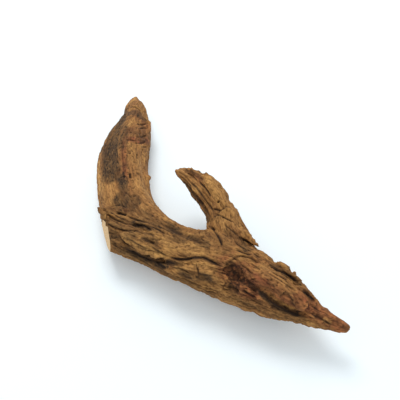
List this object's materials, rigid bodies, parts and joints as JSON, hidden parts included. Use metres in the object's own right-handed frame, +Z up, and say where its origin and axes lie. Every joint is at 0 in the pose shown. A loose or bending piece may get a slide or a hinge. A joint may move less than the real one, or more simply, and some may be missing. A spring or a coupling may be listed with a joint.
{
  "type": "driftwood",
  "caption": "Forked piece of weathered driftwood lying flat: a knotted trunk, sawn at one end and worn to a point at the other, with a long curved arm and a short broken branch.",
  "frame": {"origin": "on the surface it lies on, under the middle of the box round the whole piece", "axes": "+Y away from the viewer, along the long arm from its bend to its tip; +X to the right, towards the trunk's worn point; +Z up"},
  "size_m": [0.2292, 0.3038, 0.0584],
  "materials": {
    "weathered_wood": "dry, matt, fibrous weathered wood, ochre to dark brown with grey-brown stains"
  },
  "bodies": {
    "root": {"trunk": "weathered_wood", "long_arm": "weathered_wood", "short_branch": "weathered_wood"}
  },
  "joints": []
}
